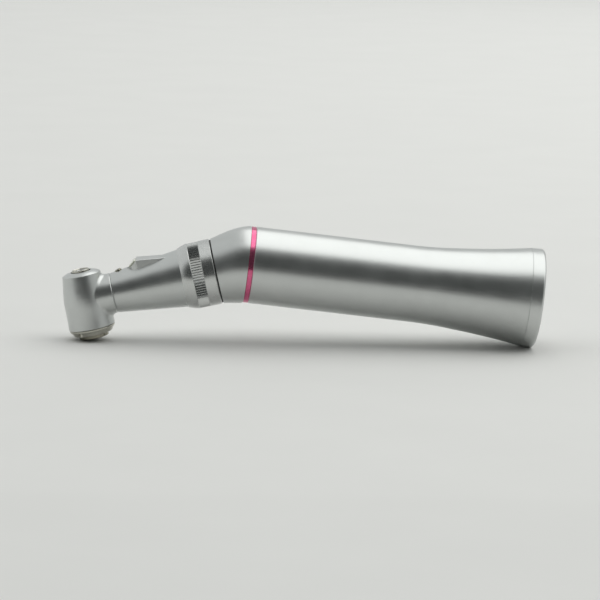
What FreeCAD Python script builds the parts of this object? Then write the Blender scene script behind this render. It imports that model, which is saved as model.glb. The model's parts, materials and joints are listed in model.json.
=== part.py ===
"""Contra-angle dental handpiece, 1:5 speed-increasing, with a push-button chuck.

It lies as it would on a bench: +X towards the motor end, +Z up, the table at Z = 0.
Most pieces are turned, so each is drawn as an outline of (radius, height) points and
revolved in one of four local frames, then placed:
    HANDLE  local Z along the handle axis, from the elbow's apex towards the motor end
    NECK    local Z along the neck axis, from the apex towards the head
    HEAD    local Z along the bur axis, from where the neck axis crosses it, out of the bur hole
    APEX    the handpiece's mid-plane: X rearward, Z up, for the bent rods
"""
import FreeCAD, Part
import math
import os
from FreeCAD import Matrix, Placement, Vector

os.makedirs("parts", exist_ok=True)

# ---- driving dimensions, millimetres and degrees ----
BEND = 18.9                 # angle between the neck axis and the handle axis
HEAD_LEAN = -0.8            # bur axis from square to the neck; above zero, its hole end leans forward
HEAD_REACH = 32.6           # apex to the bur axis
HANDLE_LENGTH = 58.2        # apex to the rear rim
REAR_R = 9.85               # outside radius at the motor end
REAR_FULL_Z = 57.7          # where the rim's rounding starts
GRIP_R = 7.6                # straight stretch of the handle
GRIP_END_Z = 33.0
FLARE_Z = 42.0              # end of the curve into the rear cone
FLARE_R = 8.11
RING_Z = (-0.08, 0.92)      # identification ring, along the handle
BAND_Z = 55.6               # joint between the handle shell and the rear ring
BAND_R = 9.8                # outside radius there
BAND_BORE_R = 8.72          # shell bore over the coupling sleeve's flange
SHELL_BORE_R = 6.9

GAP_Z = 6.15                # front end of the elbow shell, along the neck
GAP_R = 6.5
SEAL_WIDTH = 0.3
COLLAR_R = 6.56
COLLAR_FRONT_R = 5.88
COLLAR_FRONT_Z = 13.1
KNURL_Z = (8.8, 10.9)
KNURL_R = 6.5
KNURL_DEPTH = 0.21
KNURL_COUNT = 76
SLEEVE_R = (5.77, 3.96)     # at the collar, at the head
PARTING_Z = 27.05           # joint between the neck sleeve and the head
SPIGOT_R = (5.22, 5.55)

HEAD_R = 4.53
HEAD_TOP_Z = 5.62
HEAD_FOOT_R = 4.62          # barrel at its cap
HEAD_FRONT = 4.78           # middle of the head to its foremost point, level with the table
CAP_Z = -5.65               # joint between the head and its cap
CAP_FACE_Z = -7.0
STUB_R = 4.02
BUTTON_R = 2.95
BUTTON_EDGE_Z = -7.7
BUTTON_TIP_Z = -8.2
BUTTON_TRAVEL = 0.5

BUR_R = 0.8                 # friction-grip bur shank, 1.6 mm
SPINDLE_R = 1.2
COLLET_R = 0.98
BALL_SLIP = 0.012           # between a ball and its groove
RUN = 0.05                  # running clearance, radial

FRONT_TUBE_R = (2.55, 3.0)
FRONT_SHAFT_R = 1.1
HOUSING_R = (3.6, 4.9)
REAR_SHAFT_R = 1.5
MOTOR_BORE_R = 4.8
MOTOR_BORE_Z = (37.8, 49.0)  # straight bore for the motor's nose
DOG_ROOM_R = 4.2            # chamber ahead of that bore, round the drive dog
MOTOR_SLEEVE_R = 5.3

GUIDE_R = 0.7               # light guide
GUIDE_NECK_UP = 4.5
GUIDE_HANDLE_UP = 6.1
PIPE_R = 0.45               # water and air pipes
PIPE_NECK_UP = 4.2
PIPE_HANDLE_UP = 5.75
PIPE_SIDE = 1.9
ROD_BEND_R = 14.0

FRONT_GEAR_TEETH = 15
SPINDLE_TEETH = 10
BELL_TEETH = 30
ELBOW_TEETH = 9
FRONT_GEAR_R = 3.15         # outer pitch radius
FRONT_FACE = 0.84           # face width along the pitch cone
ELBOW_CONE_OUTER = 10.0     # outer cone distance of the elbow pair
ELBOW_FACE = 1.7
ADDENDUM = 0.72             # in modules
DEDENDUM = 0.92

REAR_EDGE = HANDLE_LENGTH - REAR_FULL_Z     # radius of the rim's rounding
BUTTON_SPHERE_R = (BUTTON_R**2 + (BUTTON_EDGE_Z - BUTTON_TIP_Z) ** 2) / (2 * (BUTTON_EDGE_Z - BUTTON_TIP_Z))


def resting_tilt():
    """Angle of the handle below level with the rear rim and the button both on the table."""
    low, high = 0.0, BEND
    for _ in range(60):
        tilt = (low + high) / 2
        handle = math.radians(tilt)
        neck = math.radians(BEND - tilt)
        head = neck + math.radians(HEAD_LEAN)
        rim = -REAR_FULL_Z * math.sin(handle) - (REAR_R - REAR_EDGE) * math.cos(handle) - REAR_EDGE
        sphere_z = BUTTON_TIP_Z + BUTTON_SPHERE_R
        button = -HEAD_REACH * math.sin(neck) + sphere_z * math.cos(head) - BUTTON_SPHERE_R
        if rim > button:
            low = tilt
        else:
            high = tilt
    return tilt, rim


TILT, FLOOR_Z = resting_tilt()
HANDLE_DIP = math.radians(TILT)
NECK_DIP = math.radians(BEND - TILT)
HANDLE_ALONG = Vector(math.cos(HANDLE_DIP), 0, -math.sin(HANDLE_DIP))
HANDLE_UP = Vector(math.sin(HANDLE_DIP), 0, math.cos(HANDLE_DIP))
NECK_ALONG = Vector(-math.cos(NECK_DIP), 0, -math.sin(NECK_DIP))
NECK_UP = Vector(-math.sin(NECK_DIP), 0, math.cos(NECK_DIP))
HEAD_DIP = NECK_DIP + math.radians(HEAD_LEAN)
HEAD_UP = Vector(-math.sin(HEAD_DIP), 0, math.cos(HEAD_DIP))
HEAD_FORWARD = Vector(-math.cos(HEAD_DIP), 0, -math.sin(HEAD_DIP))
SIDE = Vector(0, 1, 0)
# the box's middle in X: foremost point of the head to the rearmost point of the rim
FRONT_X = (NECK_ALONG * HEAD_REACH).x - HEAD_FRONT
REAR_X = REAR_FULL_Z * math.cos(HANDLE_DIP) + (REAR_R - REAR_EDGE) * math.sin(HANDLE_DIP) + REAR_EDGE
APEX_POINT = Vector(-(FRONT_X + REAR_X) / 2, 0, -FLOOR_Z)


def frame(origin, along, up):
    """Placement with local Z along the first direction and local X along the second."""
    side = along.cross(up)
    matrix = Matrix(up.x, side.x, along.x, origin.x,
                    up.y, side.y, along.y, origin.y,
                    up.z, side.z, along.z, origin.z,
                    0, 0, 0, 1)
    return Placement(matrix)


HANDLE = frame(APEX_POINT, HANDLE_ALONG, HANDLE_UP)
NECK = frame(APEX_POINT, NECK_ALONG, NECK_UP)
HEAD_CENTRE = APEX_POINT + NECK_ALONG * HEAD_REACH
HEAD = frame(HEAD_CENTRE, HEAD_UP, HEAD_FORWARD)
NECK_IN_HEAD = HEAD.inverse().multiply(NECK).toMatrix()
APEX = Placement(APEX_POINT, FreeCAD.Rotation())


# ---- shape helpers ----
def outline(points):
    """Closed face in the local XZ plane. A point of four numbers ends an arc through its last two."""
    edges = []
    start = Vector(points[-1][0], 0, points[-1][1])
    for point in points:
        end = Vector(point[0], 0, point[1])
        if len(point) == 4:
            middle = Vector(point[2], 0, point[3])
            edges.append(Part.Arc(start, middle, end).toShape())
        else:
            edges.append(Part.makeLine(start, end))
        start = end
    return Part.Face(Part.Wire(edges))


def turned(points):
    return outline(points).revolve(Vector(0, 0, 0), Vector(0, 0, 1), 360)


def rod(radius, low, high, x=0.0, y=0.0):
    return Part.makeCylinder(radius, high - low, Vector(x, y, low))


def ring(inner, outer, low, high, edge=0.0):
    """Ring about local Z, with its outer corners chamfered by edge."""
    points = [(inner, low), (outer, low), (outer, high), (inner, high)]
    if edge:
        points[1:3] = [(outer - edge, low), (outer, low + edge), (outer, high - edge), (outer - edge, high)]
    return turned(points)


def round_ring(radius, section, height):
    """O-ring about local Z."""
    return Part.makeTorus(radius, section, Vector(0, 0, height))


def around(shape, count, start=0.0):
    """Copies of a shape, evenly spaced about local Z."""
    copies = []
    for index in range(count):
        copy = shape.copy()
        copy.rotate(Vector(0, 0, 0), Vector(0, 0, 1), start + 360.0 * index / count)
        copies.append(copy)
    return copies


def joined(shapes):
    return shapes[0].multiFuse(shapes[1:]).removeSplitter()


def put(name, shape, place):
    """Move a piece from its local frame to its place and write it."""
    placed = shape.transformed(place.toMatrix(), True)
    if not placed.isValid():
        print("INVALID", name)
    placed.exportStep("parts/" + name + ".step")
    return placed


def in_frame(shape, place):
    return shape.transformed(place.inverse().toMatrix(), True)


# ---- gears ----
def cone_point(cone, distance, offset):
    """Point at a distance from the apex along a pitch cone, offset outward from the cone."""
    radius = distance * math.sin(cone) + offset * math.cos(cone)
    height = distance * math.cos(cone) - offset * math.sin(cone)
    return radius, height


def tooth(cone, teeth, distance, face, inside, shift):
    """One straight bevel tooth, lofted between its large and its small end."""
    module = 2 * distance * math.sin(cone) / teeth
    flip = -1 if inside else 1
    wires = []
    for scale in (1.0, (distance - face) / distance):
        end = distance * scale
        size = module * scale
        levels = [(-DEDENDUM - 0.25, 2.05), (ADDENDUM, 0.72)]
        corners = []
        for level, width in levels:
            radius, height = cone_point(cone, end, flip * level * size)
            half = width * size / 2
            corners.append((radius, half, height))
        (root_r, root_half, root_z), (tip_r, tip_half, tip_z) = corners
        points = [Vector(root_r, -root_half, root_z), Vector(tip_r, -tip_half, tip_z),
                  Vector(tip_r, tip_half, tip_z), Vector(root_r, root_half, root_z)]
        wires.append(Part.makePolygon(points + points[:1]))
    solid = Part.makeLoft(wires, True, True)
    solid.rotate(Vector(0, 0, 0), Vector(0, 0, 1), shift)
    return solid


def bevel_gear(cone, teeth, distance, face, blank, inside=False, shift=0.0):
    """Bevel gear about local Z, its apex at the origin, on a turned blank."""
    body = turned(blank)
    one = tooth(cone, teeth, distance, face, inside, shift)
    return joined([body] + around(one, teeth))


# ---- ball bearings ----
def bearing(name, inner_r, outer_r, low, high, ball_r, count, place):
    """Deep-groove ball bearing as an outer race, an inner race, and the balls in their cage."""
    pitch = (inner_r + outer_r) / 2
    middle = (low + high) / 2
    groove = round_ring(pitch, ball_r + BALL_SLIP, middle)
    wall = (outer_r - inner_r) / 2 - ball_r * 0.62
    put(name + "_outer_race", ring(outer_r - wall, outer_r, low, high, 0.08).cut(groove), place)
    inner = ring(inner_r, inner_r + wall, low, high)
    put(name + "_inner_race", inner.cut(groove), place)
    ball = Part.makeSphere(ball_r, Vector(pitch, 0, middle))
    half_wall = ball_r * 0.3
    half_height = (high - low) / 2 - 0.12
    cage = ring(pitch - half_wall, pitch + half_wall, middle - half_height, middle + half_height)
    pocket_start = Vector(pitch - 2 * ball_r, 0, middle)
    pocket = Part.makeCylinder(ball_r + BALL_SLIP, 4 * ball_r, pocket_start, Vector(1, 0, 0))
    cage = cage.cut(Part.makeCompound(around(pocket, count)))
    put(name + "_balls", Part.makeCompound(around(ball, count) + [cage]), place)


# ---- bent rods: light guide, water pipe, air pipe ----
def bent_rod(radius, neck_up, handle_up, neck_end, handle_end, side):
    """Rod along the neck, one arc over the elbow, and on along the handle, in the APEX frame."""
    neck_point = NECK_UP * neck_up
    handle_point = HANDLE_UP * handle_up
    # the two centre lines cross where neck_point - s * NECK_ALONG = handle_point + t * HANDLE_ALONG
    gap = handle_point - neck_point
    det = -NECK_ALONG.x * -HANDLE_ALONG.z - -HANDLE_ALONG.x * -NECK_ALONG.z
    s = (gap.x * -HANDLE_ALONG.z - -HANDLE_ALONG.x * gap.z) / det
    corner = neck_point - NECK_ALONG * s
    reach = ROD_BEND_R * math.tan(math.radians(BEND) / 2)
    first = corner + NECK_ALONG * reach
    last = corner + HANDLE_ALONG * reach
    inward = (NECK_ALONG + HANDLE_ALONG).normalize()
    centre = corner + inward * (ROD_BEND_R / math.cos(math.radians(BEND) / 2))
    middle = centre - inward * ROD_BEND_R
    start = neck_point + NECK_ALONG * neck_end
    stop = handle_point + HANDLE_ALONG * handle_end
    bend = Part.Arc(first, middle, last).toShape()
    path = Part.Wire([Part.makeLine(start, first), bend, Part.makeLine(last, stop)])
    section = Part.Wire([Part.makeCircle(radius, start, NECK_ALONG)])
    solid = path.makePipeShell([section], True, False)
    solid.translate(SIDE * side)
    return solid


GUIDE_ENDS = (21.0, 47.0)
PIPE_ENDS = (15.4, 47.0)


def guide_shape(extra=0.0):
    return bent_rod(GUIDE_R + extra, GUIDE_NECK_UP, GUIDE_HANDLE_UP, GUIDE_ENDS[0], GUIDE_ENDS[1], 0.0)


def pipe_shape(side, extra=0.0):
    return bent_rod(PIPE_R + extra, PIPE_NECK_UP, PIPE_HANDLE_UP, PIPE_ENDS[0], PIPE_ENDS[1], side)


GUIDE = guide_shape()
PIPES = [pipe_shape(-PIPE_SIDE), pipe_shape(PIPE_SIDE)]
LINES_HOLE = Part.makeCompound(
    [guide_shape(0.03), pipe_shape(-PIPE_SIDE, 0.03), pipe_shape(PIPE_SIDE, 0.03)])


def cleared(shape, place):
    """The shape, in its local frame, with holes where the light guide and the pipes pass."""
    return shape.cut(in_frame(LINES_HOLE.transformed(APEX.toMatrix(), True), place))


# ---- handle ----
def handle_shell():
    flare_in = FLARE_R - 1.0
    grip_mid = ((GRIP_R + FLARE_R) / 2 - 0.12, (GRIP_END_Z + FLARE_Z) / 2)
    flare_mid = ((FLARE_R + BAND_R) / 2 - 0.15, (FLARE_Z + BAND_Z) / 2)
    shape = turned([
        (SHELL_BORE_R, RING_Z[1]), (GRIP_R - 0.12, RING_Z[1]), (GRIP_R, RING_Z[1] + 0.12),
        (GRIP_R, GRIP_END_Z), (FLARE_R, FLARE_Z, *grip_mid), (BAND_R - 0.01, BAND_Z - 0.05, *flare_mid),
        (BAND_R - 0.05, BAND_Z), (BAND_BORE_R, BAND_Z), (BAND_BORE_R, 53.9), (flare_in, FLARE_Z),
        (SHELL_BORE_R, FLARE_Z - 3.0)])
    put("handle_shell", shape, HANDLE)


def rear_ring():
    inner = 8.35
    shape = turned([
        (inner, BAND_Z), (BAND_R - 0.05, BAND_Z), (BAND_R + 0.01, BAND_Z + 0.05), (REAR_R, REAR_FULL_Z),
        (REAR_R - REAR_EDGE, HANDLE_LENGTH, REAR_R - 0.29 * REAR_EDGE, HANDLE_LENGTH - 0.29 * REAR_EDGE),
        (inner + 0.35, HANDLE_LENGTH), (inner, HANDLE_LENGTH - 0.35)])
    put("rear_ring", shape, HANDLE)


def identification_ring():
    shape = ring(SHELL_BORE_R, GRIP_R - 0.03, RING_Z[0], RING_Z[1], 0.1)
    put("identification_ring", shape, HANDLE)


def circle_wire(radius, centre, normal):
    return Part.Wire([Part.makeCircle(radius, centre, normal)])


def elbow_loft(offset, overrun):
    """Tapered bend from the gap, about the neck axis, to the ring, about the handle axis."""
    half = (HANDLE_ALONG - NECK_ALONG).normalize()
    stations = [
        (GAP_R, NECK_ALONG * (GAP_Z + overrun), NECK_ALONG * -1),
        (6.95, NECK_ALONG * 4.1, NECK_ALONG * -1),
        (7.42, NECK_ALONG * 1.8 + NECK_UP * 0.15, half),
        (GRIP_R, HANDLE_ALONG * (RING_Z[0] + overrun), HANDLE_ALONG)]
    wires = [circle_wire(radius - offset, centre, normal) for radius, centre, normal in stations]
    return Part.makeLoft(wires, True, False)


def elbow_shell():
    to_handle = frame(Vector(0, 0, 0), HANDLE_ALONG, HANDLE_UP).toMatrix()
    to_neck = frame(Vector(0, 0, 0), NECK_ALONG, NECK_UP).toMatrix()
    rear_spigot = ring(6.0, SHELL_BORE_R - 0.02, RING_Z[0] - 0.6, RING_Z[1] + 2.6)
    front_spigot = ring(SPIGOT_R[0], SPIGOT_R[1], GAP_Z - 0.6, GAP_Z + 1.6)
    shape = elbow_loft(0.0, 0.0).cut(elbow_loft(0.85, 0.5))
    shape = shape.fuse(rear_spigot.transformed(to_handle, True))
    shape = shape.fuse(front_spigot.transformed(to_neck, True))
    put("elbow_shell", shape.cut(LINES_HOLE), APEX)


def shaft_housing():
    lands = [ring(HOUSING_R[1] - 0.1, SHELL_BORE_R - 0.02, low, high)
             for low, high in ((12.2, 14.8), (25.5, 28.5))]
    tube = turned([
        (HOUSING_R[0], 11.9), (HOUSING_R[1], 11.9), (HOUSING_R[1], 29.6), (MOTOR_SLEEVE_R, 29.6),
        (MOTOR_SLEEVE_R, 30.1), (HOUSING_R[0], 30.1), (HOUSING_R[0], 25.0), (HOUSING_R[0] - 0.5, 25.0),
        (HOUSING_R[0] - 0.5, 14.0), (HOUSING_R[0], 14.0)])
    put("shaft_housing", cleared(joined([tube] + lands), HANDLE), HANDLE)


def coupling_sleeve():
    """Socket for the motor's nose, with a snap groove and a flange behind it."""
    flange_r = BAND_BORE_R - 0.05
    groove_z = MOTOR_BORE_Z[1]
    shape = turned([
        (MOTOR_SLEEVE_R, 30.1), (MOTOR_SLEEVE_R, 54.0), (flange_r, 54.0), (flange_r, BAND_Z),
        (MOTOR_BORE_R + 0.5, BAND_Z), (MOTOR_BORE_R, BAND_Z - 0.5), (MOTOR_BORE_R, groove_z + 1.2),
        (MOTOR_BORE_R + 0.25, groove_z + 0.95), (MOTOR_BORE_R + 0.25, groove_z + 0.25),
        (MOTOR_BORE_R, groove_z), (MOTOR_BORE_R, MOTOR_BORE_Z[0]), (DOG_ROOM_R, MOTOR_BORE_Z[0] - 0.4),
        (DOG_ROOM_R, 30.1)])
    put("coupling_sleeve", shape, HANDLE)


def manifold_ring():
    """Ring that ends the light guide and the pipes and feeds them from the motor end."""
    shape = turned([(MOTOR_SLEEVE_R + 0.02, 45.5), (7.3, 45.5), (7.5, 49.0), (MOTOR_SLEEVE_R + 0.02, 49.0)])
    put("manifold_ring", cleared(shape, HANDLE), HANDLE)


def bearing_spacer():
    put("bearing_spacer", ring(2.9, HOUSING_R[0] - 0.02, 27.45, 28.6), HANDLE)


# ---- rear drive ----
def elbow_cones():
    """Pitch cone angles of the pinion and of the internal bell gear, whose axes cross at BEND."""
    ratio = BELL_TEETH / ELBOW_TEETH
    bend = math.radians(BEND)
    pinion = math.atan2(math.sin(bend), ratio - math.cos(bend))
    return pinion, pinion + bend


def bell_gear():
    cone = elbow_cones()[1]
    module = 2 * ELBOW_CONE_OUTER * math.sin(cone) / BELL_TEETH
    root_big = cone_point(cone, ELBOW_CONE_OUTER, DEDENDUM * module)
    scale = (ELBOW_CONE_OUTER - ELBOW_FACE) / ELBOW_CONE_OUTER
    root_small = (root_big[0] * scale, root_big[1] * scale)
    blank = [
        (REAR_SHAFT_R, 10.15), (4.6, 10.15), root_big, root_small, (root_small[0] + 0.35, 7.1), (5.1, 7.1),
        (5.1, 10.75), (5.0, 10.9), (2.2, 10.9), (2.2, 11.5), (REAR_SHAFT_R, 11.5)]
    half_pitch = 180.0 / BELL_TEETH
    shape = bevel_gear(cone, BELL_TEETH, ELBOW_CONE_OUTER, ELBOW_FACE, blank, True, half_pitch)
    put("bell_gear", shape, HANDLE)


def rear_shaft():
    shape = turned([
        (0, 10.3), (REAR_SHAFT_R - 0.15, 10.3), (REAR_SHAFT_R, 10.45), (REAR_SHAFT_R, 28.3), (2.2, 28.3),
        (2.2, 28.75), (REAR_SHAFT_R, 28.75), (REAR_SHAFT_R, 33.4), (REAR_SHAFT_R - 0.2, 33.6), (0, 33.6)])
    pin_hole = Part.makeCylinder(0.4, 8.0, Vector(0, -4.0, 32.62), Vector(0, 1, 0))
    put("rear_shaft", shape.cut(pin_hole), HANDLE)


def drive_dog():
    """Two-jaw clutch that slides on the shaft and is driven through a slot by the cross pin."""
    sleeve = ring(REAR_SHAFT_R + 0.03, 2.35, 31.5, 35.3, 0.12)
    end = rod(2.35, 35.2, 35.9)
    jaws = ring(0.9, 2.35, 35.8, 37.4)
    gap = Part.makeBox(6.0, 2.0, 2.0, Vector(-3.0, -1.0, 35.9))
    slot_low, slot_high = 32.20, 34.57
    slot = Part.makeBox(0.85, 8.0, slot_high - slot_low - 0.85, Vector(-0.425, -4.0, slot_low + 0.425))
    slot_ends = [Part.makeCylinder(0.425, 8.0, Vector(0, -4.0, height), Vector(0, 1, 0))
                 for height in (slot_low + 0.425, slot_high - 0.425)]
    shape = joined([sleeve, end, jaws]).cut(Part.makeCompound([gap, slot] + slot_ends))
    put("drive_dog", shape, HANDLE)


def dog_pin():
    put("dog_pin", Part.makeCylinder(0.4, 4.4, Vector(0, -2.2, 32.62), Vector(0, 1, 0)), HANDLE)


def dog_spring():
    """Spring ahead of the dog, at its compressed length."""
    wave = [round_ring(1.93, 0.17, 28.93 + 0.34 * index) for index in range(3)]
    put("dog_spring", Part.makeCompound(wave), HANDLE)


# ---- neck ----
def sleeve_r(height):
    slope = (SLEEVE_R[1] - SLEEVE_R[0]) / (PARTING_Z - COLLAR_FRONT_Z)
    return SLEEVE_R[0] + slope * (height - COLLAR_FRONT_Z)


WINDOW_FOOT = (4.3, 23.0)    # up, along: lower edge of the slanted window face
WINDOW_HEAD = (5.76, 21.2)
FAIRING_BACK_Z = 14.5
FAIRING_BACK_UP = 4.92       # flat top at the back, where the sleeve has risen past it
FAIRING_HALF = (2.1, 2.55, 1.35)    # half-width at the back, before the front's rounding, at the foot
FAIRING_FRONT_Z = (21.3, 22.5)      # where the rounding of its front starts, and a point on it


def fairing():
    """Flat-topped block with upright sides, a rounded plan and a slanted front for the window."""
    low = 3.2
    side_view = Part.Face(Part.makePolygon([
        Vector(low, -4, FAIRING_BACK_Z), Vector(FAIRING_BACK_UP, -4, FAIRING_BACK_Z),
        Vector(WINDOW_HEAD[0], -4, WINDOW_HEAD[1]), Vector(WINDOW_FOOT[0], -4, WINDOW_FOOT[1]),
        Vector(low, -4, WINDOW_FOOT[1]), Vector(low, -4, FAIRING_BACK_Z)])).extrude(Vector(0, 8, 0))
    back, full, foot = FAIRING_HALF
    start, middle = FAIRING_FRONT_Z
    tip = WINDOW_FOOT[1] + 0.1
    near = Part.Arc(Vector(low, -full, start), Vector(low, -full + 0.52, middle), Vector(low, -foot, tip))
    far = Part.Arc(Vector(low, foot, tip), Vector(low, full - 0.52, middle), Vector(low, full, start))
    plan = Part.Wire([
        Part.makeLine(Vector(low, -back, FAIRING_BACK_Z), Vector(low, -full, start)), near.toShape(),
        Part.makeLine(Vector(low, -foot, tip), Vector(low, foot, tip)), far.toShape(),
        Part.makeLine(Vector(low, full, start), Vector(low, back, FAIRING_BACK_Z)),
        Part.makeLine(Vector(low, back, FAIRING_BACK_Z), Vector(low, -back, FAIRING_BACK_Z))])
    block = side_view.common(Part.Face(plan).extrude(Vector(4, 0, 0)))
    crest = [edge for edge in block.Edges if edge.Length > 6.0 and edge.BoundBox.XMin > low + 0.5]
    block = softened(block, crest, 0.12)
    slope = Vector(WINDOW_HEAD[0] - WINDOW_FOOT[0], 0, WINDOW_HEAD[1] - WINDOW_FOOT[1]).normalize()
    outward = Vector(-slope.z, 0, slope.x)
    corner = Vector(WINDOW_FOOT[0], 0, WINDOW_FOOT[1])
    return block, frame(corner, outward * -1 if outward.z < 0 else outward, slope)


WINDOW_WIDTH = 3.0
WINDOW_LENGTH = 1.7
WINDOW_DEPTH = 0.45
WINDOW_PROUD = 0.32


def window_block(base, proud):
    """Rounded pane let into the fairing's slanted front."""
    corner = Vector(0.3, -WINDOW_WIDTH / 2, -WINDOW_DEPTH)
    box = Part.makeBox(WINDOW_LENGTH, WINDOW_WIDTH, WINDOW_DEPTH + proud, corner)
    upright = [edge for edge in box.Edges if abs(edge.tangentAt(edge.FirstParameter).z) > 0.9]
    return box.makeFillet(0.45, upright).transformed(base.toMatrix(), True)


NOZZLE_Z = 23.9
NOZZLE_R = 0.72
NOZZLE_LEAN = 72.0


def nozzle_shape(extra=0.0):
    """Small domed spray nozzle, leaning towards the bur."""
    lean = Placement(Vector(0, 0, NOZZLE_Z), FreeCAD.Rotation(Vector(0, 1, 0), NOZZLE_LEAN))
    radius = NOZZLE_R + extra
    tip = 4.72
    shape = turned([
        (0, 3.45), (radius, 3.45), (radius, tip - 0.35),
        (radius - 0.35, tip, radius - 0.1, tip - 0.1), (0, tip)])
    if not extra:
        shape = shape.cut(rod(0.18, tip - 0.8, tip + 0.1))
    return shape.transformed(lean.toMatrix(), True)


def neck_sleeve():
    outer = turned([
        (0, COLLAR_FRONT_Z), (SLEEVE_R[0], COLLAR_FRONT_Z), (SLEEVE_R[1] + 0.02, PARTING_Z - 0.15),
        (SLEEVE_R[1] - 0.12, PARTING_Z), (0, PARTING_Z)])
    tail = rod(SPIGOT_R[1], 8.0, COLLAR_FRONT_Z + 0.2)
    block, base = fairing()
    solid = joined([outer, tail, block])
    hollow = turned([
        (0, 7.0), (SPIGOT_R[0], 7.0), (SPIGOT_R[0], 12.6), (4.62, 14.2), (FRONT_TUBE_R[1] + 0.3, 23.6),
        (FRONT_TUBE_R[1] + 0.02, 24.2), (FRONT_TUBE_R[1] + 0.02, 28.0), (0, 28.0)])
    groove = Part.makeCylinder(0.28, 2.8, Vector(4.42, -1.4, 23.02), Vector(0, 1, 0))
    shape = solid.cut(hollow).cut(window_block(base, 1.0)).cut(nozzle_shape(0.01)).cut(groove)
    put("neck_sleeve", cleared(shape, NECK), NECK)
    put("light_window", cleared(window_block(base, WINDOW_PROUD), NECK), NECK)


def spray_nozzle():
    put("spray_nozzle", nozzle_shape(), NECK)


def locking_ring():
    """Knurled ring between the elbow and the neck sleeve."""
    bore = SPIGOT_R[1] + RUN
    back = GAP_Z + SEAL_WIDTH
    root = KNURL_R - KNURL_DEPTH
    body = turned([
        (bore, back), (COLLAR_R - 0.12, back), (COLLAR_R, back + 0.12), (COLLAR_R, KNURL_Z[0] - 0.1),
        (COLLAR_R - 0.1, KNURL_Z[0]), (root, KNURL_Z[0]), (root, KNURL_Z[1]), (COLLAR_R - 0.1, KNURL_Z[1]),
        (COLLAR_R, KNURL_Z[1] + 0.1), (COLLAR_FRONT_R, COLLAR_FRONT_Z, COLLAR_R - 0.26, KNURL_Z[1] + 1.2),
        (bore, COLLAR_FRONT_Z)])
    points = []
    for index in range(2 * KNURL_COUNT + 1):
        angle = math.pi * index / KNURL_COUNT
        radius = KNURL_R if index % 2 else root
        points.append(Vector(radius * math.cos(angle), radius * math.sin(angle), KNURL_Z[0]))
    teeth = Part.Face(Part.makePolygon(points)).extrude(Vector(0, 0, KNURL_Z[1] - KNURL_Z[0]))
    teeth = teeth.cut(rod(bore + 0.2, KNURL_Z[0] - 1, KNURL_Z[1] + 1))
    put("locking_ring", body.fuse(teeth), NECK)


def gap_seal():
    """Flat black seal in the gap between the elbow shell and the locking ring."""
    put("gap_seal", ring(SPIGOT_R[1] + 0.01, GAP_R - 0.2, GAP_Z + 0.01, GAP_Z + SEAL_WIDTH - 0.03), NECK)


def neck_tube():
    """Inner tube that carries the front shaft's bearings, from the elbow to the head."""
    inner, outer = FRONT_TUBE_R
    tube = turned([
        (inner, -2.9), (outer, -2.9), (outer, 28.2), (inner, 28.2), (inner, 24.4), (inner - 0.45, 24.4),
        (inner - 0.45, -0.6), (inner, -0.6)])
    flange = ring(outer - 0.1, SPIGOT_R[0] - 0.02, 3.6, 6.6)
    put("neck_tube", cleared(joined([tube, flange]), NECK), NECK)


def front_shaft():
    shape = turned([
        (0, -9.95), (0.55, -9.95), (0.55, -8.2), (0.8, -8.2), (0.8, -4.0), (FRONT_SHAFT_R, -3.2),
        (FRONT_SHAFT_R, -0.7), (FRONT_SHAFT_R + 0.35, -0.7), (FRONT_SHAFT_R + 0.35, 24.5),
        (FRONT_SHAFT_R, 24.5), (FRONT_SHAFT_R, 30.6), (FRONT_SHAFT_R - 0.25, 30.85), (0, 30.85)])
    put("front_shaft", shape, NECK)


def elbow_pinion():
    """Small bevel pinion behind the apex, on the neck axis carried on into the handle."""
    cone = elbow_cones()[0]
    module = 2 * ELBOW_CONE_OUTER * math.sin(cone) / ELBOW_TEETH
    root_big = cone_point(cone, ELBOW_CONE_OUTER, -DEDENDUM * module)
    scale = (ELBOW_CONE_OUTER - ELBOW_FACE) / ELBOW_CONE_OUTER
    root_small = (root_big[0] * scale, root_big[1] * scale)
    blank = [(0.55, root_small[1]), root_small, root_big, (0.55, root_big[1])]
    behind = frame(APEX_POINT, NECK_ALONG * -1, NECK_UP)
    put("elbow_pinion", bevel_gear(cone, ELBOW_TEETH, ELBOW_CONE_OUTER, ELBOW_FACE, blank), behind)


# ---- head gears ----
HEAD_SHAFTS = math.radians(90 - HEAD_LEAN)
SPINDLE_CONE = math.atan2(math.sin(HEAD_SHAFTS), FRONT_GEAR_TEETH / SPINDLE_TEETH + math.cos(HEAD_SHAFTS))
HEAD_CONE = HEAD_SHAFTS - SPINDLE_CONE
HEAD_CONE_OUTER = FRONT_GEAR_R / math.sin(HEAD_CONE)


def head_root(cone, teeth):
    module = 2 * HEAD_CONE_OUTER * math.sin(cone) / teeth
    big = cone_point(cone, HEAD_CONE_OUTER, -DEDENDUM * module)
    scale = (HEAD_CONE_OUTER - FRONT_FACE) / HEAD_CONE_OUTER
    return big, (big[0] * scale, big[1] * scale)


def front_gear():
    """Crown gear on the front shaft, its apex on the bur axis."""
    big, small = head_root(HEAD_CONE, FRONT_GEAR_TEETH)
    bore = FRONT_SHAFT_R
    blank = [
        (bore, 2.0), (small[0] - 0.1, 2.0), small, big, (big[0] - 0.25, 3.1), (1.8, 3.3), (1.8, 4.1),
        (bore, 4.1)]
    place = frame(HEAD_CENTRE, NECK_ALONG * -1, NECK_UP)
    half_pitch = 180.0 / FRONT_GEAR_TEETH
    turn = 180 + half_pitch
    shape = bevel_gear(HEAD_CONE, FRONT_GEAR_TEETH, HEAD_CONE_OUTER, FRONT_FACE, blank, False, turn)
    put("front_gear", shape, place)


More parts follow.
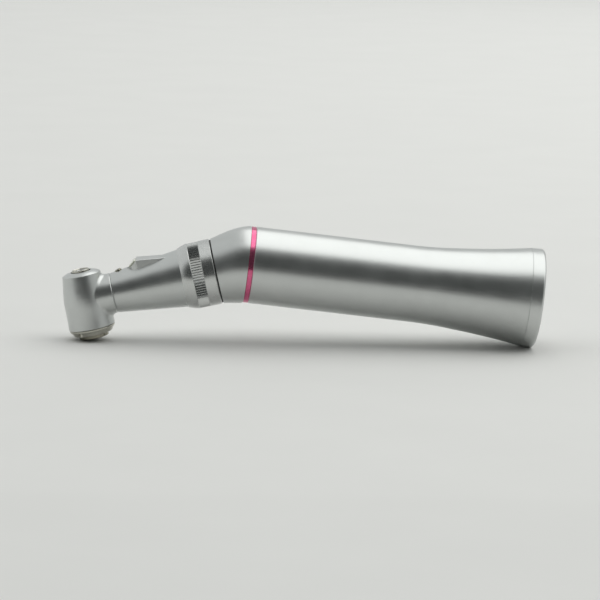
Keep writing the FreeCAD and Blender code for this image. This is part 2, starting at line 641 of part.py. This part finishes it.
def spindle_pinion():
    big, small = head_root(SPINDLE_CONE, SPINDLE_TEETH)
    blank = [(SPINDLE_R, small[1]), small, big, (big[0], 3.5), (SPINDLE_R, 3.5)]
    place = frame(HEAD_CENTRE, HEAD_UP * -1, HEAD_FORWARD * -1)
    shape = bevel_gear(SPINDLE_CONE, SPINDLE_TEETH, HEAD_CONE_OUTER, FRONT_FACE, blank)
    put("spindle_pinion", shape, place)


# ---- head ----
def head_housing():
    barrel = turned([
        (0, CAP_Z), (HEAD_FOOT_R - 0.1, CAP_Z), (HEAD_FOOT_R, CAP_Z + 0.1),
        (HEAD_R, -2.6, HEAD_R + 0.03, -4.2), (HEAD_R, -1.2), (4.27, 2.0, 4.465, 0.4),
        (3.79, 4.96), (3.68, 5.12, 3.77, 5.07), (2.04, HEAD_TOP_Z, 2.95, 5.45), (0, HEAD_TOP_Z)])
    stub = turned([
        (0, PARTING_Z), (STUB_R - 0.14, PARTING_Z), (STUB_R, PARTING_Z + 0.16),
        (STUB_R, HEAD_REACH), (0, HEAD_REACH)]).transformed(NECK_IN_HEAD, True)
    solid = barrel.fuse(stub)
    stub_end = PARTING_Z - HEAD_REACH + 0.4
    seam = [edge for edge in solid.Edges if edge.Length > 0.5 and edge.BoundBox.ZLength > 0.3
            and stub_end < edge.BoundBox.XMin and edge.BoundBox.XMax < -1.0]
    solid = softened(solid, seam, 0.7)
    cavity = turned([
        (0, -7.0), (3.6, -7.0), (3.6, 3.4), (2.9, 3.4), (2.9, 5.15), (1.8, 5.15), (1.8, 5.22),
        (2.0, 5.22), (2.04, 6.5), (0, 6.5)])
    neck_bore = rod(FRONT_TUBE_R[1] + 0.02, HEAD_REACH - 8.0, HEAD_REACH)
    gear_bore = rod(3.48, HEAD_REACH - 4.3, HEAD_REACH)
    bores = neck_bore.fuse(gear_bore).transformed(NECK_IN_HEAD, True)
    put("head_housing", solid.cut(cavity).cut(bores), HEAD)


def softened(solid, edges, radius):
    """Fillet the seam, or leave it sharp where no fillet fits."""
    try:
        rounded = solid.makeFillet(radius, edges)
        if rounded.isValid() and rounded.Volume > 0:
            return rounded
    except Part.OCCError:
        pass
    print("seam left sharp:", len(edges), "edges")
    return solid


def dust_ring():
    """Raised ring round the bur hole."""
    shape = turned([
        (1.5, 5.17), (1.78, 5.17), (1.78, 5.82), (1.68, 5.96, 1.75, 5.92), (1.6, 5.96), (1.5, 5.84)])
    put("dust_ring", shape, HEAD)


def chuck_spindle():
    shape = turned([
        (COLLET_R, -5.55), (SPINDLE_R, -5.55), (SPINDLE_R, 5.15), (1.42, 5.2), (1.42, 5.7), (1.3, 5.82),
        (COLLET_R, 5.82)])
    put("chuck_spindle", shape, HEAD)


def collet():
    """Spring collet: a slit tube that grips the bur's shank."""
    tube = turned([(BUR_R, -3.6), (COLLET_R, -3.6), (COLLET_R, 5.75), (BUR_R + 0.08, 5.75), (BUR_R, 5.65)])
    slit = Part.makeBox(1.6, 0.22, 4.6, Vector(0, -0.11, -3.8))
    put("collet", tube.cut(Part.makeCompound(around(slit, 3, 30.0))), HEAD)


def release_wedge():
    """Cone that opens the collet when the button pushes it."""
    put("release_wedge", turned([(0, -5.12), (0.93, -5.12), (0.93, -4.6), (0.4, -4.0), (0, -4.0)]), HEAD)


def bearing_retainer():
    put("bearing_retainer", ring(2.3, 3.38, -5.65, -5.37), HEAD)


def head_cap():
    """Screwed cap that carries the push button, with three notches for its wrench."""
    shape = turned([
        (3.4, -5.4), (3.58, -5.4), (3.58, CAP_Z), (HEAD_FOOT_R - 0.2, CAP_Z),
        (HEAD_FOOT_R - 0.08, CAP_Z - 0.12), (4.2, -6.32, 4.47, -6.08), (3.88, -6.84),
        (3.66, CAP_FACE_Z, 3.8, -6.95), (BUTTON_R + RUN + 0.1, CAP_FACE_Z),
        (BUTTON_R + RUN, CAP_FACE_Z + 0.1), (BUTTON_R + RUN, -6.75), (3.4, -6.75)])
    notch = rod(0.42, CAP_FACE_Z - 0.5, -6.1, 3.98, 0)
    put("head_cap", shape.cut(Part.makeCompound(around(notch, 3, 56.0))), HEAD)


def push_button():
    """Domed button with a flange under the cap and a pin towards the chuck."""
    dome_mid = math.asin(BUTTON_R / BUTTON_SPHERE_R) / 2
    centre = BUTTON_TIP_Z + BUTTON_SPHERE_R
    middle = (BUTTON_SPHERE_R * math.sin(dome_mid), centre - BUTTON_SPHERE_R * math.cos(dome_mid))
    shape = turned([
        (0, BUTTON_TIP_Z), (BUTTON_R - 0.02, BUTTON_EDGE_Z - 0.02, middle[0], middle[1]),
        (BUTTON_R, BUTTON_EDGE_Z + 0.05), (BUTTON_R, -6.7), (3.3, -6.7), (3.3, -6.4), (0.85, -6.4),
        (0.85, -5.32), (0.7, -5.29), (0, -5.29)])
    put("push_button", shape, HEAD)


def button_spring():
    """Disc spring between the button's flange and the bearing retainer."""
    shape = turned([(2.35, -5.68), (3.1, -6.24), (3.22, -6.37), (3.0, -6.37), (2.3, -5.84)])
    put("button_spring", shape, HEAD)


def bearing_o_rings():
    """Damping rings round the lower spindle bearing."""
    rings = [round_ring(3.28, 0.3, height) for height in (-4.05, -4.95)]
    put("bearing_o_rings", Part.makeCompound(rings), HEAD)


def bearing_liner():
    """Thin liner that holds the lower spindle bearing inside its damping rings."""
    grooves = Part.makeCompound([round_ring(3.28, 0.31, height) for height in (-4.05, -4.95)])
    put("bearing_liner", ring(2.92, 3.56, -5.35, -3.65).cut(grooves), HEAD)


handle_shell()
rear_ring()
identification_ring()
elbow_shell()
shaft_housing()
coupling_sleeve()
manifold_ring()
bearing_spacer()
bell_gear()
rear_shaft()
drive_dog()
dog_pin()
dog_spring()
neck_sleeve()
spray_nozzle()
locking_ring()
gap_seal()
neck_tube()
front_shaft()
elbow_pinion()
front_gear()
spindle_pinion()
head_housing()
dust_ring()
chuck_spindle()
collet()
release_wedge()
bearing_retainer()
head_cap()
push_button()
button_spring()
put("light_guide", GUIDE, APEX)
put("water_pipe", PIPES[0], APEX)
put("air_pipe", PIPES[1], APEX)
bearing("upper_spindle_bearing", SPINDLE_R, 2.88, 3.45, 5.13, 0.42, 8, HEAD)
bearing("lower_spindle_bearing", SPINDLE_R, 2.88, -5.35, -3.65, 0.42, 8, HEAD)
bearing("front_shaft_bearing", FRONT_SHAFT_R, FRONT_TUBE_R[0], 24.6, 26.4, 0.38, 8, NECK)
bearing("elbow_shaft_bearing", FRONT_SHAFT_R, FRONT_TUBE_R[0], -2.6, -0.8, 0.38, 8, NECK)
bearing("bell_bearing", REAR_SHAFT_R, HOUSING_R[0], 12.0, 14.0, 0.55, 8, HANDLE)
bearing("drive_bearing", REAR_SHAFT_R, HOUSING_R[0], 25.1, 27.1, 0.55, 8, HANDLE)
bearing_liner()
bearing_o_rings()
print("handle tilt", round(TILT, 3), "apex", APEX_POINT)
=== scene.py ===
"""Contra-angle dental handpiece: looks, stage, light and camera."""
import bpy
import json
import math
from mathutils import Matrix, Vector


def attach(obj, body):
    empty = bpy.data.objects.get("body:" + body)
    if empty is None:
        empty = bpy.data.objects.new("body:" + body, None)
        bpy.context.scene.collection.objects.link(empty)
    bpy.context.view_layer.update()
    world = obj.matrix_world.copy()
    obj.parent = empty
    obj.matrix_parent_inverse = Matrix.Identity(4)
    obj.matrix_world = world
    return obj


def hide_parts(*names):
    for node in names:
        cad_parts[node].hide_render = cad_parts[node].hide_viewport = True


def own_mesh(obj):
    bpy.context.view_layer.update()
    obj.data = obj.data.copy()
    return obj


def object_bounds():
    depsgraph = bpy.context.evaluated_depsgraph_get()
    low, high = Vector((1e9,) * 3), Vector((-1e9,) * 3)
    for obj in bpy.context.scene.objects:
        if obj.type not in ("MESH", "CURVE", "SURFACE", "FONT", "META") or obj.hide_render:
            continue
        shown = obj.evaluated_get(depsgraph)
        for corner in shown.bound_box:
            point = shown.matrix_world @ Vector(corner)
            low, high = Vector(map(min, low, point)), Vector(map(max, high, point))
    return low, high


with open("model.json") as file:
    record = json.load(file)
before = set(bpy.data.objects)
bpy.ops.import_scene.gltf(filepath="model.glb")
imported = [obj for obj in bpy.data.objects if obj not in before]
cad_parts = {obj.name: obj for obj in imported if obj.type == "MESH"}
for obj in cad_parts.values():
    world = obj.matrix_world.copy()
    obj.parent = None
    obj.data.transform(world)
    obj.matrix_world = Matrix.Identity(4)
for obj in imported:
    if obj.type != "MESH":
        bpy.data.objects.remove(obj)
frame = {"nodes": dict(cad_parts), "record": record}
CAD_LOW, CAD_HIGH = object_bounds()
CENTRE = (CAD_LOW + CAD_HIGH) / 2
LENGTH = CAD_HIGH.x - CAD_LOW.x

# ---- camera: a long lens from the side, a little above, turned a little to the motor end ----
VIEW_YAW = math.radians(2.3)
VIEW_DIP = math.radians(9.8)
VIEW_ROLL = math.radians(1.325)
VIEW_DISTANCE = 6.2917 * LENGTH
VIEW_LENS = 181.52
VIEW_AIM = Vector((CENTRE.x - 0.000615, 0.0, CENTRE.z - 0.00296))

# ---- light: a tent with a softbox over it, open and dark at the front; metres and watts ----
WALL_LEFT = (0.72, 0.735, 0.73)
WALL_RIGHT = (0.50, 0.515, 0.505)
ROOM_AHEAD = (0.055, 0.059, 0.058)
BOX_HEIGHT = 0.85
BOX_SPAN = (-0.16, 1.55)
BOX_REACH = (-0.42, 0.95)
BOX_RADIANCE = 1.06
ROOM_WAY = (-0.15, -0.96, 0.245)     # towards the middle of the tent's open front
ROOM_EDGE = (0.54, 0.84)             # cosines from that way where the wall ends and the room begins
FILL_PLACE = (0.2, 0.95, 0.42)
FILL_SIZE = (1.3, 0.6)
FILL_POWER = 0.9
FLOOR_COLOUR = (0.77, 0.77, 0.752)
FLOOR_SIZE = 12.0
TABLE_FRONT = -0.13                  # where the pale table ends and the dark floor ahead of it begins
DARK_FLOOR_SIZE = (6.0, 3.0)
DARK_FLOOR_Z = 0.0005


# ---- node helpers ----
class Nodes:
    """A material's node tree, with short calls for the nodes used here."""

    def __init__(self, name):
        self.material = bpy.data.materials.new(name)
        self.material.use_nodes = True
        self.tree = self.material.node_tree
        self.tree.nodes.clear()
        output = self.tree.nodes.new("ShaderNodeOutputMaterial")
        self.shader = self.tree.nodes.new("ShaderNodeBsdfPrincipled")
        self.link(self.shader.outputs[0], output.inputs["Surface"])
        self.place = self.tree.nodes.new("ShaderNodeTexCoord").outputs["Object"]

    def link(self, source, target):
        self.tree.links.new(source, target)

    def feed(self, name, source):
        """Link a value to the shader's socket of that name."""
        self.link(source, self.shader.inputs[name])

    def stretch(self, scale):
        node = self.tree.nodes.new("ShaderNodeMapping")
        node.inputs["Scale"].default_value = scale
        self.link(self.place, node.inputs["Vector"])
        return node.outputs["Vector"]

    def noise(self, scale, detail=2.0, vector=None, roughness=0.5):
        node = self.tree.nodes.new("ShaderNodeTexNoise")
        node.inputs["Scale"].default_value = scale
        node.inputs["Detail"].default_value = detail
        node.inputs["Roughness"].default_value = roughness
        self.link(vector or self.place, node.inputs["Vector"])
        return node.outputs["Fac"]

    def cells(self, scale):
        node = self.tree.nodes.new("ShaderNodeTexVoronoi")
        node.inputs["Scale"].default_value = scale
        self.link(self.place, node.inputs["Vector"])
        return node.outputs["Distance"]

    def spread(self, source, low, high, start=0.0, stop=1.0):
        """Map a value's stretch from start to stop onto low to high."""
        node = self.tree.nodes.new("ShaderNodeMapRange")
        node.inputs["From Min"].default_value = start
        node.inputs["From Max"].default_value = stop
        node.inputs["To Min"].default_value = low
        node.inputs["To Max"].default_value = high
        self.link(source, node.inputs["Value"])
        return node.outputs["Result"]

    def combine(self, operation, first, second):
        node = self.tree.nodes.new("ShaderNodeMath")
        node.operation = operation
        for socket, value in zip(node.inputs, (first, second)):
            if isinstance(value, (int, float)):
                socket.default_value = value
            else:
                self.link(value, socket)
        return node.outputs[0]

    def colours(self, source, stops):
        node = self.tree.nodes.new("ShaderNodeValToRGB")
        ramp = node.color_ramp
        while len(ramp.elements) < len(stops):
            ramp.elements.new(0.5)
        for element, (position, colour) in zip(ramp.elements, stops):
            element.position = position
            element.color = (*colour, 1.0)
        self.link(source, node.inputs["Fac"])
        return node.outputs["Color"]

    def bump(self, height, strength, distance):
        node = self.tree.nodes.new("ShaderNodeBump")
        node.inputs["Strength"].default_value = strength
        node.inputs["Distance"].default_value = distance
        self.link(height, node.inputs["Height"])
        self.feed("Normal", node.outputs["Normal"])


def shade(colour, factor):
    """The colour made darker or paler by a factor."""
    return tuple(channel * factor for channel in colour)


# ---- materials ----
def blasted_metal(name, colour, roughness, grain=9000.0, relief=0.000004):
    """Satin plating over a bead-blasted surface: fine dimples, soft clouding and a few hairline marks."""
    nodes = Nodes(name)
    cloud = nodes.noise(260.0, 3.0)
    dimple = nodes.combine("ADD", nodes.cells(grain), nodes.noise(grain * 0.4, 2.0))
    hairline = nodes.noise(420.0, 2.0, nodes.stretch((0.08, 1.0, 6.0)), 0.7)
    marks = nodes.spread(hairline, 0.0, 1.0, 0.66, 0.72)
    nodes.feed("Base Color", nodes.colours(cloud, [(0.3, shade(colour, 0.97)), (0.7, shade(colour, 1.03))]))
    base = nodes.spread(cloud, roughness - 0.02, roughness + 0.025, 0.3, 0.7)
    nodes.feed("Roughness", nodes.combine("ADD", base, nodes.combine("MULTIPLY", marks, 0.03)))
    nodes.shader.inputs["Metallic"].default_value = 1.0
    nodes.bump(dimple, 0.25, relief)
    return nodes.material


def turned_metal(name, colour, roughness, ripple=5200.0, relief=0.0000015):
    """Machined and polished metal: faint tool lines across the axis and a slight clouding."""
    nodes = Nodes(name)
    cloud = nodes.noise(340.0, 3.0)
    lines = nodes.noise(ripple, 1.0, nodes.stretch((0.05, 0.05, 1.0)))
    nodes.feed("Base Color", nodes.colours(cloud, [(0.3, shade(colour, 0.95)), (0.7, shade(colour, 1.05))]))
    nodes.feed("Roughness", nodes.spread(cloud, roughness * 0.8, roughness * 1.25, 0.3, 0.7))
    nodes.shader.inputs["Metallic"].default_value = 1.0
    nodes.bump(lines, 0.3, relief)
    return nodes.material


def anodised_pink():
    """Pink dye in a thin clear oxide over smooth metal."""
    nodes = Nodes("anodised_pink")
    cloud = nodes.noise(900.0, 3.0)
    nodes.feed("Base Color", nodes.colours(cloud, [(0.3, (0.66, 0.13, 0.26)), (0.7, (0.74, 0.16, 0.31))]))
    nodes.feed("Roughness", nodes.spread(cloud, 0.15, 0.21, 0.3, 0.7))
    nodes.shader.inputs["Metallic"].default_value = 0.9
    nodes.bump(nodes.noise(12000.0), 0.2, 0.000002)
    return nodes.material


def seal_rubber():
    """Black rubber with a fine matt grain."""
    nodes = Nodes("seal_rubber")
    grain = nodes.noise(6000.0, 3.0)
    stops = [(0.3, (0.016, 0.016, 0.017)), (0.7, (0.032, 0.032, 0.032))]
    nodes.feed("Base Color", nodes.colours(grain, stops))
    nodes.feed("Roughness", nodes.spread(grain, 0.55, 0.8, 0.3, 0.7))
    nodes.bump(grain, 0.4, 0.00001)
    return nodes.material


def window_glass():
    """Ground end of the glass rod behind its polished face: cream green with a faint fibre grid."""
    nodes = Nodes("window_glass")
    fibre = nodes.cells(16000.0)
    nodes.feed("Base Color", nodes.colours(fibre, [(0.0, (0.82, 0.83, 0.72)), (0.8, (0.66, 0.69, 0.56))]))
    nodes.feed("Roughness", nodes.spread(fibre, 0.08, 0.16))
    nodes.shader.inputs["Coat Weight"].default_value = 0.6
    nodes.shader.inputs["Coat Roughness"].default_value = 0.04
    nodes.bump(nodes.noise(3000.0), 0.08, 0.000004)
    return nodes.material


def paint(finish, *names):
    """Give the CAD nodes of these names one finish."""
    for name in names:
        mesh = frame["nodes"][name].data
        mesh.materials.clear()
        mesh.materials.append(finish)


BODY = blasted_metal("satin_plating", (0.585, 0.600, 0.590), 0.32)
RING = blasted_metal("satin_ring", (0.60, 0.61, 0.60), 0.25)
POLISHED = turned_metal("polished_steel", (0.52, 0.51, 0.455), 0.13)
# painted shade: a darker copy of the polished steel that stands in for the shade under the head
SHADED_POLISHED = turned_metal("polished_steel_painted_shade", (0.27, 0.26, 0.21), 0.12)
GEAR = turned_metal("gear_steel", (0.42, 0.41, 0.39), 0.32)
SHAFT = turned_metal("shaft_steel", (0.55, 0.55, 0.54), 0.2)
SPRING = turned_metal("spring_steel", (0.36, 0.35, 0.33), 0.3)
RACE = turned_metal("bearing_steel", (0.62, 0.62, 0.62), 0.12)
CHASSIS = turned_metal("chassis_metal", (0.50, 0.50, 0.49), 0.35)
PIPE = turned_metal("pipe_steel", (0.52, 0.52, 0.51), 0.25)

FINISH = {
    "satin_body": BODY, "locking_ring": RING, "polished_steel": POLISHED, "pink_anodised": anodised_pink(),
    "black_rubber": seal_rubber(), "clear_glass": window_glass(), "pipe_steel": PIPE,
    "chassis_metal": CHASSIS, "gear_steel": GEAR, "shaft_steel": SHAFT, "spring_steel": SPRING,
    "bearing_steel": RACE}

for entry in frame["record"]["subparts"]:
    paint(FINISH[entry["material_slot"]], entry["node"])
# painted shade on the push button, from the darker polished copy; the spray nozzle takes the same darker
# colour
paint(SHADED_POLISHED, "push_button", "spray_nozzle")


def flattening_spring():
    """The disc spring over the button's flange, as a mesh of its own on the handpiece in place of the CAD
    node.
    """
    node = frame["nodes"]["button_spring"]
    spring = bpy.data.objects.new("button_disc_spring", node.data.copy())
    spring.matrix_world = node.matrix_world.copy()
    bpy.context.scene.collection.objects.link(spring)
    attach(spring, "handpiece")
    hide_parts("button_spring")
    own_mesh(spring)


flattening_spring()


# ---- stage ----
def plate(name, width, depth, matrix, finish):
    """Flat rectangle of the stage."""
    mesh = bpy.data.meshes.new(name)
    x, y = width / 2, depth / 2
    mesh.from_pydata([(-x, -y, 0), (x, -y, 0), (x, y, 0), (-x, y, 0)], [], [(0, 1, 2, 3)])
    mesh.materials.append(finish)
    made = bpy.data.objects.new(name, mesh)
    made.matrix_world = matrix
    bpy.context.scene.collection.objects.link(made)
    return made


def paper(name, colour):
    """Matt paper, very slightly uneven."""
    nodes = Nodes(name)
    grain = nodes.noise(40.0, 4.0)
    stops = [(0.3, shade(colour, 0.992)), (0.7, shade(colour, 1.008))]
    nodes.feed("Base Color", nodes.colours(grain, stops))
    nodes.shader.inputs["Roughness"].default_value = 0.9
    nodes.shader.inputs["Specular IOR Level"].default_value = 0.15
    return nodes.material


def tent():
    """World light by direction: pale walls, paler on the left, and a dark room through the open front."""
    world = bpy.data.worlds.new("tent")
    bpy.context.scene.world = world
    world.use_nodes = True
    tree = world.node_tree
    way = tree.nodes.new("ShaderNodeTexCoord").outputs["Generated"]

    def toward(direction, start, stop, low, high):
        """Fade from low to high as the way's cosine with the direction grows from start to stop."""
        dot = tree.nodes.new("ShaderNodeVectorMath")
        dot.operation = "DOT_PRODUCT"
        dot.inputs[1].default_value = direction
        tree.links.new(way, dot.inputs[0])
        ramp = tree.nodes.new("ShaderNodeMapRange")
        ramp.interpolation_type = "SMOOTHSTEP"
        tree.links.new(dot.outputs["Value"], ramp.inputs["Value"])
        ramp.inputs["From Min"].default_value = start
        ramp.inputs["From Max"].default_value = stop
        mix = tree.nodes.new("ShaderNodeMix")
        mix.data_type = "RGBA"
        tree.links.new(ramp.outputs["Result"], mix.inputs["Factor"])
        for socket, value in ((6, low), (7, high)):
            if isinstance(value, tuple):
                mix.inputs[socket].default_value = (*value, 1.0)
            else:
                tree.links.new(value, mix.inputs[socket])
        return mix.outputs[2]

    walls = toward((1.0, 0.0, 0.0), -0.8, 0.8, WALL_LEFT, WALL_RIGHT)
    both = toward(tuple(Vector(ROOM_WAY).normalized()), *ROOM_EDGE, walls, ROOM_AHEAD)
    tree.links.new(both, tree.nodes["Background"].inputs["Color"])


def panel(name, place, size, power, colour, level=False):
    """Rectangular light that faces straight down when level, and the middle of the table otherwise."""
    light = bpy.data.lights.new(name, "AREA")
    light.shape = "RECTANGLE"
    light.size, light.size_y = size
    light.energy = power
    light.color = colour
    lamp = bpy.data.objects.new(name, light)
    lamp.location = place
    if not level:
        lamp.rotation_euler = (-Vector(place)).to_track_quat("-Z", "Y").to_euler()
    bpy.context.scene.collection.objects.link(lamp)
    return lamp


def studio():
    """Floor, softbox overhead and a weak fill from behind that doesn't show in reflections."""
    plate("floor", FLOOR_SIZE, FLOOR_SIZE, Matrix.Identity(4), paper("floor_paper", FLOOR_COLOUR))
    middle = (0.0, TABLE_FRONT - DARK_FLOOR_SIZE[1] / 2, DARK_FLOOR_Z)
    ahead = plate("dark_floor_ahead", *DARK_FLOOR_SIZE, Matrix.Translation(middle),
                  paper("dark_floor", (0.05, 0.05, 0.05)))
    ahead.visible_camera = False
    ahead.visible_diffuse = False
    ahead.visible_shadow = False
    width = BOX_SPAN[1] - BOX_SPAN[0]
    depth = BOX_REACH[1] - BOX_REACH[0]
    power = BOX_RADIANCE * math.pi * width * depth
    over = (sum(BOX_SPAN) / 2, sum(BOX_REACH) / 2, BOX_HEIGHT)
    panel("softbox", over, (width, depth), power, (1.0, 1.0, 0.985), level=True)
    fill = panel("fill", FILL_PLACE, FILL_SIZE, FILL_POWER, (1.0, 1.0, 1.0))
    fill.visible_glossy = False


def camera():
    """Camera that looks along its yaw and dip at the aim, and rolls about that line."""
    ahead = Vector((math.sin(VIEW_YAW) * math.cos(VIEW_DIP), math.cos(VIEW_YAW) * math.cos(VIEW_DIP),
                    -math.sin(VIEW_DIP)))
    level = Vector((math.cos(VIEW_YAW), -math.sin(VIEW_YAW), 0.0))
    over = level.cross(ahead)
    right = level * math.cos(VIEW_ROLL) + over * math.sin(VIEW_ROLL)
    up = right.cross(ahead)
    lens = bpy.data.cameras.new("camera")
    lens.lens = VIEW_LENS
    lens.sensor_width = 36.0
    lens.clip_start = 0.01
    lens.clip_end = 50.0
    made = bpy.data.objects.new("camera", lens)
    turn = Matrix((right, up, -ahead)).transposed().to_4x4()
    made.matrix_world = Matrix.Translation(VIEW_AIM - ahead * VIEW_DISTANCE) @ turn
    bpy.context.scene.collection.objects.link(made)
    bpy.context.scene.camera = made


tent()
studio()
camera()
bpy.context.scene.view_settings.view_transform = "Standard"
